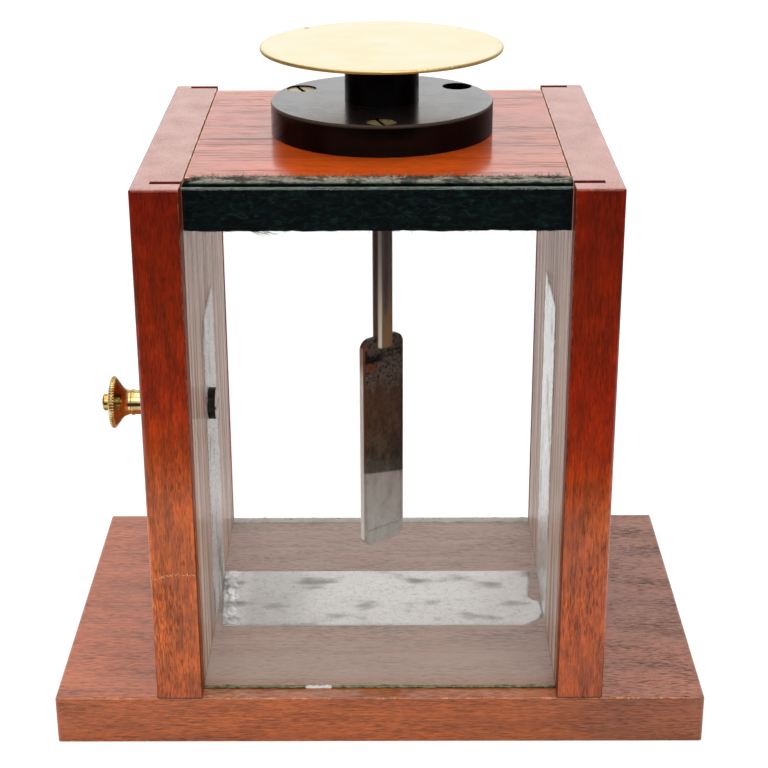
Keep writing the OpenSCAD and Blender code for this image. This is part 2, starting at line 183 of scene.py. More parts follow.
def between(share, first, second):
    """A value that lies so far between two others."""
    tree = (share if isinstance(share, bpy.types.NodeSocket) else first).id_data
    return add(tree, "Mix", {0: share, 2: first, 3: second}, data_type="FLOAT")


def both(first, second):
    """Mask of what two masks share."""
    return add(first.id_data, "Math", {0: first, 1: second}, operation="MULTIPLY")


def either(first, second):
    """Mask of what one mask or the other has."""
    return add(first.id_data, "Math", {0: first, 1: second}, operation="MAXIMUM")


def left_by(mask, kept=0.0):
    """Mask of what this one leaves, and so much of what it covers."""
    return ramped(mask, 0, 1, 1, kept)


def shaken(value, pattern, reach):
    """A value with so much of a pattern added to it."""
    return add(value.id_data, "Math", {0: pattern, 1: reach, 2: value}, operation="MULTIPLY_ADD")


def off(value, middle):
    """How far a value is from the middle one, on either side."""
    past = add(value.id_data, "Math", {0: value, 1: middle}, operation="SUBTRACT")
    return add(value.id_data, "Math", {0: past}, operation="ABSOLUTE")


def toned(colour, by):
    """A colour made lighter or darker."""
    return add(colour.id_data, "VectorMath", {0: colour, "Scale": by}, operation="SCALE")


def away_from(place, point):
    """Distance in metres from a point."""
    return add(place.id_data, "VectorMath", {0: place, 1: point}, out=1, operation="DISTANCE")


def axis_distance(place, node, across=(1, 1, 0)):
    """Distance in metres from the axis of a turned node, measured along the directions that across names."""
    low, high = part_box(node)
    moved = add(place.id_data, "VectorMath", {0: place, 1: tuple((low + high) / 2)}, operation="SUBTRACT")
    flat = add(place.id_data, "VectorMath", {0: moved, 1: across}, operation="MULTIPLY")
    return add(place.id_data, "VectorMath", {0: flat}, out=1, operation="LENGTH")


def arris_distance(place, low, high):
    """Distance in metres to the nearest edge of a board: the middle one of its distances to three faces."""
    tree = place.id_data
    centre = add(tree, "VectorMath", {0: place, 1: tuple((low + high) / 2)}, operation="SUBTRACT")
    size = add(tree, "VectorMath", {0: centre}, operation="ABSOLUTE")
    left = axes(add(tree, "VectorMath", {0: tuple((high - low) / 2), 1: size}, operation="SUBTRACT"))
    least = add(tree, "Math", {0: left["X"], 1: left["Y"]}, operation="MINIMUM")
    inner = add(tree, "Math", {0: either(left["X"], left["Y"]), 1: left["Z"]}, operation="MINIMUM")
    return either(least, inner)


# Wood
def mahogany_figure(place, grain, shift, tone, streak_mm, depth, dark):
    """Ribbon figure of mahogany over a stain, with finer streaks and fibres drawn out along the grain."""
    ribbon = grained(place, along(grain, 9, 60), shift, Detail=3, Roughness=0.55)
    streaks = grained(place, along(grain, streak_mm, 22), shift, Detail=5, Roughness=0.68, Distortion=0.25)
    fibre = grained(place, along(grain, 0.45, 3), shift, Detail=3, Roughness=0.7)
    figured = laid_over(ramped(between(0.6, ribbon, streaks), 0.38, 0.58, depth, 0), tone, dark)
    return toned(figured, ramped(fibre, 0.34, 0.66, 0.8, 1.16))


def open_pores(place, grain, shift, width, length, start):
    """Mask of short open pores along the grain, a little more crowded in some places than in others."""
    pores = grained(place, along(grain, width, length), shift, Detail=1, Roughness=0.4)
    crowd = grained(place, along(grain, 7, 22), shift, Detail=2)
    return ramped(shaken(pores, crowd, 0.4), start, start + 0.06)


def worn_arrises(place, node, shift, width):
    """Mask of the thin broken line where handling has rubbed the stain off a board's arrises."""
    edge = arris_distance(place, *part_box(node))
    nicks = grained(place, (2.4, 2.4, 2.4), shift, Detail=4, Roughness=0.75)
    reach = ramped(nicks, 0.36, 0.66, 0.1 * width, width)
    inside = add(place.id_data, "Math", {0: reach, 1: edge}, operation="SUBTRACT")
    return ramped(inside, -0.05 * MM, 0.22 * MM, 0, 0.85)


def varnish(colour, relief, coat, gloss, film, under=0.12):
    """Clear varnish over stained wood: a thin gloss coat on a dull body, sunk a little into the pores."""
    bump = add(colour.id_data, "Bump", {"Height": relief, "Strength": 0.3, "Distance": 0.12 * MM})
    return add(colour.id_data, "BsdfPrincipled", {
        "Base Color": colour, "Roughness": 0.5, "IOR": 1.5, "Specular IOR Level": under, "Normal": bump,
        "Coat Weight": coat, "Coat Roughness": gloss, "Coat IOR": film, "Coat Normal": bump,
    })


def base_mahogany():
    """Varnished mahogany plank, grain left to right: many short open pores, browner towards its right end,
    dust trodden in between the panes and packed before them, pale worn arrises."""
    shift = (3.7, 1.9, 5.3)
    low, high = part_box("base_board")
    made, tree, place = new_material("varnished_mahogany_base")
    spot = axes(place)
    figure = mahogany_figure(place, 0, shift, "#c66325", 1.4, 0.45, "#763414")
    rightness = shaken(spot["X"], grained(place, (34, 20, 20), shift, Detail=2), 20 * MM)
    backwards = ramped(spot["Y"], low.y + 8 * MM, low.y + 50 * MM, 0.42, 0.72)
    browned = laid_over(both(ramped(rightness, 62 * MM, 76 * MM), backwards), figure, "#7e4a30")
    top = ramped(spot["Z"], high.z - 0.4 * MM, high.z - 0.1 * MM)
    # Away from the top face, lighter around 20 mm left of the middle and darker towards both ends
    paler_left_of_middle = ramped(off(spot["X"], -20 * MM), 5 * MM, 75 * MM, 1.16, 0.96)
    middled = toned(browned, between(top, paler_left_of_middle, 1.0))

    in_case = both(top, ramped(off(spot["X"], 0), CASE_HALF - 0.3 * MM, CASE_HALF + 0.5 * MM, 1, 0))
    behind_pane = both(in_case, ramped(spot["Y"], PANE_FRONT, PANE_FRONT + 0.3 * MM))
    near, far = PANE_FRONT + 16 * MM, PANE_FRONT + 30 * MM
    dust_cloud = grained(place, (26, 1.4, 1.4), (5, 2, 8), Detail=4, Roughness=0.65)
    dust = both(behind_pane, ramped(dust_cloud, 0.3, 0.7, 0.6, 0.86))
    thick_dust = both(both(behind_pane, ramped(spot["Y"], near, far, 1, 0)), 0.8)
    dusty = laid_over(either(dust, thick_dust), middled, "#cdbcb0")
    crumbs = grained(place, (3, 0.8, 0.8), (5, 5, 8), Detail=5, Roughness=0.7)
    packed = both(in_case, ramped(spot["Y"], PANE_FRONT - 0.2 * MM, PANE_FRONT, 1, 0))
    leftward = ramped(spot["X"], -42 * MM, -30 * MM, 0.85, 0.3)
    strewn = laid_over(both(packed, both(ramped(crumbs, 0.36, 0.66), leftward)), dusty, "#cfa67e")
    rear_strip = both(in_case, ramped(spot["Y"], PANE_REAR - 3.5 * MM, PANE_REAR - 2 * MM))
    greyed = laid_over(both(rear_strip, ramped(crumbs, 0.3, 0.6, 0.2, 0.7)), strewn, "#a2a292")

    pores = open_pores(place, 0, shift, 0.17, 2.4, 0.755)
    long_pores = ramped(grained(place, (9, 0.3, 0.3), (4, 4, 4), Detail=2, Roughness=0.6), 0.63, 0.67)
    rightward = both(ramped(rightness, 50 * MM, 68 * MM, 0, 0.3), top)
    deep = add(tree, "Math", {0: ramped(top, 0, 1, 0.42, 0.5), 1: rightward}, operation="ADD")
    deep = both(deep, left_by(both(behind_pane, ramped(spot["Y"], near, far, 1, 0.3)), 0.55))
    pored = laid_over(both(pores, deep), greyed, "#33140a")
    pored = laid_over(both(long_pores, both(deep, 1.3)), pored, "#2a100a")
    worn = laid_over(worn_arrises(place, "base_board", shift, 0.5 * MM), pored, "#ec9a4c")
    relief = shaken(grained(place, (9, 9, 9), shift), pores, -1)
    coat = both(left_by(both(pores, deep), 0.2), left_by(behind_pane, 0.12))
    coat = both(coat, ramped(top, 0, 1, 0.85, 1))
    return finished(made, varnish(worn, relief, coat, gloss=0.1, film=1.68, under=0.1))


def ring_specks(place, front):
    """Mask of the arc of pale specks that something round has left on the front of the left wall."""
    spot = axes(place)
    off_ring = off(away_from(place, (RING_X, front, RING_Z)), RING_RADIUS)
    dots = grained(place, (0.45, 0.45, 0.45), (9, 1, 4), Detail=0)
    ring = both(ramped(off_ring, 0.2 * MM, 0.4 * MM, 1, 0), ramped(dots, 0.52, 0.6))
    ring = both(ring, ramped(spot["Z"], 42.5 * MM, 44 * MM, 0, 0.9))
    return both(ring, ramped(spot["Y"], front + 0.3 * MM, front + 0.6 * MM, 1, 0))


def wall_mahogany(node, seed, stain):
    """Varnished mahogany board, grain upright, its stain deep red above and light orange below: the red is
    the stain, the lighter orange below is painted light from the floor. Its top is close, pinkish end grain,
    its inner face is bare wood with brown streaks, laid pale partly as painted sheen from the white
    backdrop, and its foot has a dark line of painted shade where it stands on the base."""
    shift = (seed * 3.7, seed * 1.9, seed * 5.3)
    low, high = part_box(node)
    made, tree, place = new_material("varnished_mahogany_" + node)
    spot = axes(place)
    level = shaken(spot["Z"], grained(place, (8, 8, 40), shift, Detail=2), 12 * MM)
    # Partly painted light: the stain stops run from deep red at the top to light orange at the foot; the red
    # is the stain, the lighter orange below is painted light from the floor
    share = add(tree, "MapRange", {0: level, 1: low.z + 6 * MM, 2: high.z + 6 * MM})
    stained = add(tree, "ValToRGB", {0: share}, stops=stain)
    mottle = grained(place, (4, 4, 6), shift, Detail=4, Roughness=0.6)
    mottled = toned(stained, ramped(mottle, 0.36, 0.64, 0.84, 1.14))
    figure = mahogany_figure(place, 2, shift, mottled, 1.3, 0.5, "#4e2208")
    pores = open_pores(place, 2, shift, 0.2, 2.4, 0.77)
    lower = ramped(spot["Z"], low.z + 40 * MM, low.z + 95 * MM, 0.48, 0.4)
    tone = laid_over(both(pores, lower), figure, "#3a1206")
    if node == "left_wall":
        tone = laid_over(ring_specks(place, low.y), tone, "#f0b070")
    worn = laid_over(worn_arrises(place, node, shift, 0.4 * MM), tone, "#cc6c3a")

    specks = grained(place, (0.55, 0.55, 0.55), shift, Detail=2, Roughness=0.6)
    clouds = grained(place, (7, 9, 9), shift, Detail=2)
    end_grain = add(tree, "ValToRGB", {0: between(0.6, clouds, specks)},
                    stops=[(0.36, "#a3695c"), (0.52, "#bd8579"), (0.68, "#c4938a")])
    topped = laid_over(ramped(spot["Z"], high.z - 0.22 * MM, high.z - 0.1 * MM), worn, end_grain)
    # Partly bare wood, partly painted sheen: the inner faces between the panes are laid pale for the sheen
    # of the white backdrop at a grazing angle, and get little coat
    inner_streaks = grained(place, (5, 4, 90), shift, Detail=5, Roughness=0.62)
    aged = add(tree, "ValToRGB", {0: inner_streaks},
               stops=[(0.38, "#a4755c"), (0.5, "#dfb597"), (0.6, "#f3d6be")])
    facing_in = ramped(off(spot["X"], 0), CASE_HALF + 0.1 * MM, CASE_HALF + 0.16 * MM, 1, 0)
    between_panes = ramped(off(spot["Y"], 0), -PANE_FRONT - 0.1 * MM, -PANE_FRONT + 0.1 * MM, 1, 0)
    inside = both(facing_in, between_panes)
    lined = laid_over(inside, topped, aged)
    lip = both(facing_in, ramped(spot["Y"], low.y + 0.6 * MM, low.y + 2.4 * MM, 0.85, 0.25))
    lipped = laid_over(both(lip, left_by(inside)), lined, "#4c2412")
    # Painted shade: a dark line along the wall's foot, where it stands on the base
    foot_shade = ramped(shaken(spot["Z"], specks, 1.2 * MM), low.z + 0.7 * MM, low.z + 1.1 * MM, 0.8, 0)
    foot_shaded = laid_over(foot_shade, lipped, "#2a1a12")

    nap = grained(place, (0.5, 0.5, 2.5), shift, Detail=3, Roughness=0.7)
    relief = shaken(grained(place, (9, 9, 9), shift), pores, -1)
    relief = shaken(relief, nap, both(inside, 4.0))
    in_front = both(facing_in, left_by(inside))
    bare = add(tree, "Math", {0: both(inside, 0.6), 1: both(in_front, 0.95)}, operation="ADD")
    coat = both(left_by(bare), left_by(pores, 0.4))
    return finished(made, varnish(foot_shaded, relief, coat, gloss=0.07, film=1.5))


def top_mahogany():
    """Varnished mahogany plank, grain left to right: long thin dark lines far apart, a thicker gloss coat,
    and a paler worn band along its rear edge."""
    shift = (15.5, 8.0, 22.3)
    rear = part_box("top_board")[1].y
    made, _, place = new_material("varnished_mahogany_top")
    spot = axes(place)
    aside = off(spot["X"], 0)
    figure = mahogany_figure(place, 0, shift, "#e25a10", 1.2, 0.5, "#932f08")
    # Painted shade: darker towards both ends, away from the insulator
    shaded = toned(figure, ramped(aside, 20 * MM, 40 * MM, 1, 0.74))
    lines = grained(place, (60, 1.3, 1.3), (2, 7, 1), Detail=3, Roughness=0.6, Distortion=0.4)
    crowded = ramped(aside, 12 * MM, 34 * MM, 0.25, 0.8)
    line_mask = both(ramped(lines, 0.57, 0.64), crowded)
    lined = laid_over(line_mask, shaded, "#55261a")
    pores = open_pores(place, 0, shift, 0.22, 5, 0.8)
    pored = laid_over(both(pores, both(crowded, 0.6)), lined, "#4a1c10")
    banded = laid_over(ramped(spot["Y"], rear - 2.6 * MM, rear - 1.6 * MM, 0, 0.55), pored, "#d59a6a")
    worn = laid_over(worn_arrises(place, "top_board", shift, 0.4 * MM), banded, "#e09a60")
    relief = shaken(grained(place, (9, 9, 9), shift), line_mask, -0.6)
    coat = left_by(either(line_mask, both(pores, crowded)), 0.35)
    return finished(made, varnish(worn, relief, coat, gloss=0.14, film=2.75, under=0.1))


def turned_beech():
    """Bare beech dowel rod: pale, close-grained, dull."""
    made, tree, place = new_material("turned_beech")
    fleck = grained(place, (4, 0.5, 0.5), Detail=3)
    tone = add(tree, "ValToRGB", {0: fleck}, stops=[(0.35, "#a87a4c"), (0.65, "#cfa87a")])
    return finished(made, add(tree, "BsdfPrincipled", {"Base Color": tone, "Roughness": 0.6}))


# Metals
def turned_metal(name, light, dark, rough, patch_mm=6, recess=None, bare=1.0):
    """Metal off the lathe with a film of tarnish in patches, laid dark and dull below the recess as painted
    shade in its hole.
    """
    made, tree, place = new_material(name)
    patches = grained(place, (patch_mm,) * 3, Detail=5, Roughness=0.6)
    tone = add(tree, "ValToRGB", {0: patches}, stops=[(0.38, dark), (0.62, light)])
    marks = grained(place, (0.5,) * 3, Detail=2)
    bump = add(tree, "Bump", {"Height": marks, "Strength": 0.06, "Distance": 0.05 * MM})
    metallic = bare
    if recess is not None:
        # Painted shade: below the recess the metal is laid dark and dull
        deep = ramped(axes(place)["Z"], recess - 0.1 * MM, recess, 1, 0)
        tone = laid_over(deep, tone, "#2a221a")
        metallic = ramped(deep, 0, 1, bare, 0.2)
    return finished(made, add(tree, "BsdfPrincipled", {
        "Base Color": tone, "Metallic": metallic, "Normal": bump,
        "Roughness": ramped(patches, 0.3, 0.7, rough * 1.25, rough * 0.8),
    }))


def terminal_stud_brass():
    """Brass screw: bright where it comes out at the terminal, its head inside the case blackened, with a
    bare pale face."""
    low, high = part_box("terminal_screw")
    made, tree, place = new_material("turned_brass_stud")
    along_stud = axes(place)["X"]
    patches = grained(place, (2, 2, 2), Detail=4)
    bright = add(tree, "ValToRGB", {0: patches}, stops=[(0.38, "#b88f42"), (0.62, "#e6c376")])
    black = add(tree, "ValToRGB", {0: patches}, stops=[(0.4, "#0d0807"), (0.65, "#2a1c16")])
    inside = ramped(along_stud, low.x + 20 * MM, low.x + 21 * MM)
    face = ramped(along_stud, high.x - 0.4 * MM, high.x - 0.3 * MM)
    return finished(made, add(tree, "BsdfPrincipled", {
        "Base Color": laid_over(face, laid_over(inside, bright, black), "#f4ece6"),
        "Metallic": both(left_by(inside, 0.3), left_by(face)),
        "Roughness": ramped(inside, 0, 1, 0.2, 0.5),
    }))


def terminal_brass():
    """Turned brass, polished where fingers reach, laid dark brown down the cone behind the milled crest as a
    painted reflection of the wall's unlit side, least at the height of the axis.
    """
    low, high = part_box("terminal_nut")
    crest = (high.z - low.z) / 2
    made, tree, place = new_material("turned_brass_terminal")
    patches = grained(place, (3, 3, 3), Detail=5, Roughness=0.6)
    bright = add(tree, "ValToRGB", {0: patches}, stops=[(0.38, "#c2a564"), (0.62, "#f2dfa8")])
    radius = axis_distance(place, "terminal_nut", (0, 1, 1))
    # Painted reflection: the cone is laid dark brown for the wall's unlit side mirrored in it, less at the
    # height of the axis
    cone = both(ramped(radius, crest - 0.9 * MM, crest - 0.5 * MM, 1, 0), ramped(radius, 3.6 * MM, 4.6 * MM))
    off_axis = off(axes(place)["Z"], (low.z + high.z) / 2)
    cone = both(cone, ramped(off_axis, 1.2 * MM, 3 * MM, 0.2, 0.65))
    return finished(made, add(tree, "BsdfPrincipled", {
        "Base Color": laid_over(cone, bright, "#5a3a1c"), "Metallic": 1,
        "Roughness": ramped(patches, 0.3, 0.7, 0.2, 0.12),
    }))


def lacquered_brass_cap():
    """Spun brass disc under clear lacquer: pale and even, yellower at its rim, dull brown underneath, with
    one small dark mark near its far edge."""
    low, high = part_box("cap_disc")
    made, tree, place = new_material("lacquered_brass_cap")
    radius = axis_distance(place, "cap_disc")
    breath = grained(place, (16, 16, 16), (1, 8, 3), Detail=3, Roughness=0.5)
    tone = add(tree, "ValToRGB", {0: breath}, stops=[(0.3, "#fdedb8"), (0.52, "#fff3c8"), (0.75, "#fff6d4")])
    outside = (high.x - low.x) / 2
    rimmed = laid_over(ramped(radius, outside - 0.9 * MM, outside - 0.2 * MM, 0, 0.8), tone, "#f2d285")
    under = ramped(axes(place)["Z"], high.z - 0.55 * MM, high.z - 0.25 * MM, 1, 0)
    browned = laid_over(under, rimmed, "#d8b468")
    mark_at = away_from(place, (CAP_MARK_X, CAP_MARK_Y, high.z))
    marked = laid_over(ramped(mark_at, 0.5 * MM, 0.9 * MM, 0.85, 0), browned, "#2c2414")
    rings = lathe_rings(radius, 2500, Detail=2)
    return finished(made, add(tree, "BsdfPrincipled", {
        "Base Color": marked, "Metallic": left_by(under, 0.5),
        "Roughness": ramped(radius, outside - 0.5 * MM, outside - 0.2 * MM, 0.2, 0.5),
        "Normal": add(tree, "Bump", {"Height": rings, "Strength": 0.02, "Distance": 0.05 * MM}),
    }))


def nickelled_rod():
    """Nickel plate gone grey-brown, with painted reflections in light and dark bands down its length and a
    painted white highlight low down, worn through to brass at its lower end. Its upper end is dressed off
    with the cap and lacquered like it."""
    low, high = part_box("rod")
    made, tree, place = new_material("tarnished_nickel_plate")
    spot = axes(place)
    streaks = grained(place, (0.7, 0.7, 60), (1, 4, 2), Detail=3, Roughness=0.6)
    across = add(tree, "MapRange", {
        0: shaken(spot["X"], streaks, 0.7 * MM), 1: low.x + 0.35 * MM, 2: high.x + 0.35 * MM,
    })
    # Tarnish and painted reflection: the light and dark bands across the rod stand for the room mirrored in
    # it
    rubbed = add(tree, "ValToRGB", {0: across}, stops=[
        (0.04, "#625854"), (0.16, "#4a3f3c"), (0.27, "#5c504d"), (0.33, "#c2bab4"), (0.41, "#a8a09a"),
        (0.5, "#6e6461"), (0.62, "#5e5254"), (0.74, "#5a4e4e"), (0.84, "#74686a"), (0.97, "#584a48"),
    ])
    blotches = grained(place, (1.2, 1.2, 9), (5, 1, 2), Detail=4, Roughness=0.65)
    level = shaken(spot["Z"], blotches, 30 * MM)
    worn = both(ramped(level, low.z + 20 * MM, low.z + 36 * MM, 0.6, 0), ramped(across, 0.3, 0.7, 0.25, 1))
    brassy = laid_over(worn, rubbed, "#b48c52")
    # Painted highlight: a white line down the lower part of the rod
    low_highlight = both(ramped(spot["Z"], low.z + 4 * MM, low.z + 34 * MM, 1, 0), ramped(across, 0.24, 0.3))
    lit = laid_over(both(low_highlight, ramped(across, 0.44, 0.5, 0.9, 0)), brassy, "#fff4dc")
    end = ramped(spot["Z"], high.z - 0.3 * MM, high.z - 0.2 * MM)
    return finished(made, add(tree, "BsdfPrincipled", {
        "Base Color": laid_over(end, lit, "#fff3c8"), "Metallic": ramped(end, 0, 1, 0.4, 1),
        "Roughness": 0.22,
    }))


def stained_tone(place, bottom):
    """Colour of the plate and its leaf by height, and its fine pattern: dull grey below, above a slanting
    line dark brown gummed metal, and near the top black freckles on ashen grey."""
    tree = place.id_data
    spot = axes(place)
    ruffle = grained(place, (3.4, 3.4, 6), (3, 9, 4), Detail=5, Roughness=0.66)
    fine = grained(place, (0.9, 0.9, 0.9), (6, 2, 4), Detail=4, Roughness=0.75)
    flecks = grained(place, (1.0, 1.0, 1.0), (2, 2, 4), Detail=4, Roughness=0.75)
    dark = add(tree, "ValToRGB", {0: ruffle}, stops=[(0.36, "#32261b"), (0.5, "#4c3d2d"), (0.64, "#665847")])
    level = shaken(spot["Z"], ruffle, 16 * MM)
    redder = both(ramped(level, STAIN_FOOT + 13 * MM, STAIN_FOOT + 25 * MM),
                  ramped(level, STAIN_FOOT + 30 * MM, STAIN_FOOT + 42 * MM, 0.55, 0.15))
    upper = laid_over(redder, dark, "#633f2b")
    high_up = ramped(level, STAIN_FOOT + 31 * MM, STAIN_FOOT + 39 * MM)
    greyer = laid_over(both(high_up, 0.6), upper, "#81736a")
    freckled = laid_over(both(ramped(flecks, 0.5, 0.57, 0, 0.95), high_up), greyer, "#0b0705")
    ashen = laid_over(both(ramped(fine, 0.4, 0.32, 0, 0.7), high_up), freckled, "#8d8580")
    gritty = both(ramped(fine, 0.36, 0.64, 0.78, 1.2),
                  ramped(spot["X"], PLATE_CENTRE.x - 4 * MM, PLATE_CENTRE.x + 4 * MM, 1.1, 0.9))
    gritty = both(gritty, ramped(level, STAIN_FOOT + 40 * MM, STAIN_FOOT + 45 * MM, 1, 0.7))
    stained = toned(ashen, gritty)
    grey = add(tree, "ValToRGB", {0: ruffle}, stops=[(0.34, "#a3968e"), (0.5, "#b8aea7"), (0.66, "#bcbfb6")])
    low_down = ramped(spot["Z"], bottom + 5 * MM, bottom + 10 * MM, 1, 0)
    spotted = laid_over(both(ramped(fine, 0.58, 0.68, 0, 0.6), low_down), grey, "#dfe3cf")
    slanting = shaken(shaken(spot["Z"], spot["X"], 0.23), fine, 0.6 * MM)
    return laid_over(ramped(slanting, STAIN_FOOT, STAIN_FOOT + 0.7 * MM), spotted, stained), fine


def gum_spots(place, tone, fine):
    """Lays a ragged black line of gum, and an amber drop below it, over the head of the plate or leaf."""
    spot = axes(place)
    blots = grained(place, (2.4, 2.4, 1.6), (1, 1, 6), Detail=4, Roughness=0.7)
    off_line = off(shaken(spot["Z"], blots, 4 * MM), PLATE_HIGH.z - 4 * MM)
    leftward = ramped(spot["X"], -0.5 * MM, 2 * MM, 1, 0.1)
    gum = both(ramped(off_line, 0.8 * MM, 1.3 * MM, 1, 0), leftward)
    drop = (PLATE_CENTRE.x - 3.4 * MM, PLATE_CENTRE.y - 3 * MM, PLATE_HIGH.z - 7.9 * MM)
    drop_edge = shaken(away_from(place, drop), fine, -3 * MM)
    ambered = laid_over(ramped(drop_edge, 0, 0.7 * MM, 0.85, 0), tone, "#7c430f")
    return laid_over(gum, ambered, "#0a0605")


def gummed_leaf(name):
    """Beaten leaf: dull grey metal at its lower end, stained dark brown from the gummed head down."""
    made, tree, place = new_material(name)
    tone, fine = stained_tone(place, LEAF_LOW.z)
    return finished(made, add(tree, "BsdfPrincipled", {
        "Base Color": gum_spots(place, tone, fine), "Metallic": 0.3,
        "Roughness": 0.42, "Specular IOR Level": 0.3,
        "Normal": add(tree, "Bump", {"Height": fine, "Strength": 0.25, "Distance": 0.2 * MM}),
    }))


def filed_brass_plate():
    """Brass plate under the same stains, its filed edge bright: bare filed metal, laid near white as a
    painted highlight. Black gum and an amber drop of it lie near the top."""
    made, tree, place = new_material("filed_brass_plate")
    tone, fine = stained_tone(place, PLATE_LOW.z)
    gummed = gum_spots(place, tone, fine)
    height = axes(place)["Z"]
    across = add(tree, "VectorMath", {0: place, 1: tuple(PLATE_ACROSS)}, out=1, operation="DOT_PRODUCT")
    beside = ramped(across, PLATE_EDGE + 0.85 * MM, PLATE_EDGE + 1.05 * MM, 1, 0)
    rubbed = both(beside, ramped(height, STAIN_FOOT, STAIN_FOOT + 22 * MM, 0.25, 0.9))
    # Partly bare filed metal, partly painted highlight: the filed edge is laid near white and not metallic,
    # less so near the top
    filed = ramped(across, PLATE_EDGE + 0.05 * MM, PLATE_EDGE + 0.2 * MM, 1, 0)
    chipped = both(filed, ramped(height, PLATE_HIGH.z - 12 * MM, PLATE_HIGH.z - 6 * MM, 1, 0.35))
    return finished(made, add(tree, "BsdfPrincipled", {
        "Base Color": laid_over(chipped, laid_over(rubbed, gummed, "#8a4a30"), "#fffaf4"),
        "Metallic": ramped(chipped, 0, 1, 0.3, 0), "Roughness": 0.4, "Specular IOR Level": 0.3,
        "Normal": add(tree, "Bump", {"Height": fine, "Strength": 0.25, "Distance": 0.2 * MM}),
    }))


# Ebonite, glass, felt and foil
def polished_ebonite():
    """Ebonite turned on a lathe and polished: black, brown where it has aged, its flat top dull and finely
    ringed, with a pale painted highlight along the rim of its flange."""
    low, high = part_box("insulator")
    outside = (high.x - low.x) / 2
    made, tree, place = new_material("polished_ebonite")
    spot = axes(place)
    radius = axis_distance(place, "insulator")
    rings = lathe_rings(radius, 1400, Detail=3, Roughness=0.7)
    cloud = grained(place, (9, 9, 9), Detail=3)
    tone = add(tree, "ValToRGB", {0: cloud}, stops=[(0.35, "#040202"), (0.65, "#0e0604")])
    flat_top = ramped(spot["Z"], FLANGE_TOP - 0.12 * MM, FLANGE_TOP - 0.04 * MM)
    satin = both(flat_top, ramped(radius, BOSS_RADIUS, BOSS_RADIUS + 0.1 * MM))
    right_side = ramped(spot["X"], (low.x + high.x) / 2 + 14 * MM, high.x - 4 * MM, 0.12, 0.5)
    polish = between(ramped(radius, BOSS_RADIUS + 0.2 * MM, BOSS_RADIUS + 0.4 * MM), 0.3, right_side)
    dulled = laid_over(satin, tone, "#2a2523")
    # Painted highlight: a pale band along the flange's rim
    rim = both(ramped(radius, outside - 1.3 * MM, outside - 0.5 * MM),
               ramped(spot["Z"], FLANGE_TOP - 1.0 * MM, FLANGE_TOP - 0.4 * MM, 0, 0.3))
    return finished(made, add(tree, "BsdfPrincipled", {
        "Base Color": laid_over(rim, dulled, "#8a7c6c"), "IOR": 1.5, "Specular IOR Level": 0.1,
        "Roughness": between(satin, polish, ramped(cloud, 0.35, 0.65, 0.2, 0.32)),
        "Coat Weight": ramped(satin, 0, 1, 0.04, 1), "Coat Roughness": 0.2, "Coat IOR": 1.63,
        "Normal": add(tree, "Bump", {"Height": rings, "Strength": 0.05, "Distance": 0.05 * MM}),
    }))


def drawn_glass():
    """Old drawn sheet: clear and faintly wavy. Lamps reach what is behind it."""
    made, tree, place = new_material("drawn_glass")
    waves = grained(place, (30, 30, 70), Detail=1)
    glass = add(tree, "BsdfPrincipled", {
        "Base Color": "#ffffff", "Roughness": 0.0, "IOR": 1.52, "Transmission Weight": 1.0,
        "Normal": add(tree, "Bump", {"Height": waves, "Strength": 0.1, "Distance": 0.1 * MM}),
    })
    clear = add(tree, "BsdfTransparent", {"Color": "#f4f6f4"})
    shadow = add(tree, "LightPath", out="Is Shadow Ray")
    return finished(made, add(tree, "MixShader", {0: shadow, 1: glass, 2: clear}))


def ground_glass_edge():
    """Cut and ground edge of a pane: frosted, grey-green, chipped here and there."""
    made, tree, place = new_material("ground_glass_edge")
    chips = grained(place, (2.2, 0.6, 0.6), Detail=4, Roughness=0.7)
    tone = add(tree, "ValToRGB", {0: chips}, stops=[(0.35, "#2c3a33"), (0.5, "#5d6a5f"), (0.7, "#a2ab9f")])
    return finished(made, add(tree, "BsdfPrincipled", {
        "Base Color": tone, "Roughness": 0.5, "IOR": 1.52, "Specular IOR Level": 0.25,
        "Normal": add(tree, "Bump", {"Height": chips, "Strength": 0.4, "Distance": 0.1 * MM}),
    }))


def dust_patches(place):
    """Pattern of where dust lies on the felt's top, and where its tufts are clean."""
    return grained(place, (6, 2.4, 40), (2, 2, 5), Detail=3, Roughness=0.6)


def pressed_felt():
    """Dark green wool felt, pressed: matted tufts from blue-black to bottle green, its top dusty grey."""
    made, tree, place = new_material("pressed_felt")
    tufts = grained(place, (3.2, 1.2, 1.6), Detail=6, Roughness=0.7, Distortion=1.4)
    lint = grained(place, (2.4, 0.4, 0.5), (3, 3, 3), Detail=5, Roughness=0.75, Distortion=2.0)
    tone = add(tree, "ValToRGB", {0: tufts},
               stops=[(0.34, "#000203"), (0.48, "#020c0e"), (0.58, "#051a19"), (0.74, "#17382f")])
    linty = laid_over(ramped(lint, 0.62, 0.74, 0, 0.5), tone, "#667066")
    top = ramped(axes(place)["Z"], FELT_HIGH.z - 0.9 * MM, FELT_HIGH.z - 0.3 * MM, 0, 0.75)
    dusty = both(both(top, ramped(dust_patches(place), 0.47, 0.57, 1, 0.25)), ramped(lint, 0.3, 0.6))
    return finished(made, add(tree, "BsdfPrincipled", {
        "Base Color": laid_over(dusty, linty, "#c4bfaa"), "Roughness": 1.0, "Specular IOR Level": 0.02,
        "Normal": add(tree, "Bump", {"Height": tufts, "Strength": 0.8, "Distance": 0.4 * MM}),
    }))


